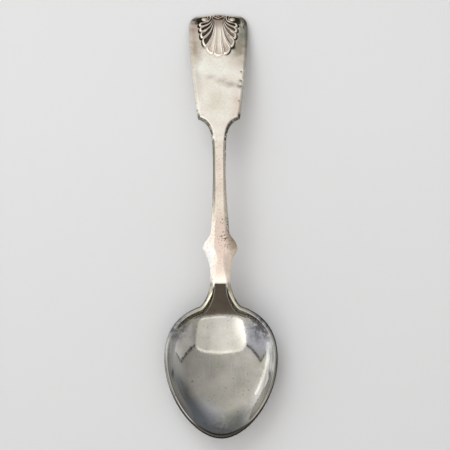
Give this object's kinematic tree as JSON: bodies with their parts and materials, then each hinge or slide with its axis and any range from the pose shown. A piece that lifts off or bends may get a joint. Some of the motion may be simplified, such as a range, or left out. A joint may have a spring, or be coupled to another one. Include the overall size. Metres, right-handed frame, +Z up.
{
  "type": "coffee spoon",
  "caption": "Small silver spoon with an egg-shaped bowl, a winged neck, a slim shank and a flared flat handle end that carries a relief shell.",
  "frame": {"origin": "middle of the bounding box on the surface the spoon lies on", "axes": "+Y along the spoon toward the end of the handle, +Z up, out of the open side of the bowl, +X across"},
  "size_m": [0.0322, 0.125, 0.0133],
  "materials": {
    "polished_silver": "polished silver with fine scratches and grey tarnish",
    "dull_silver": "silver dulled by use, warm pale tone",
    "struck_silver": "die-struck silver, dark tarnish in the sunk places"
  },
  "bodies": {
    "root": {"bowl": "polished_silver", "stem": "dull_silver", "handle_end": "dull_silver", "shell": "struck_silver", "left_bead": "struck_silver", "right_bead": "struck_silver"}
  },
  "joints": []
}
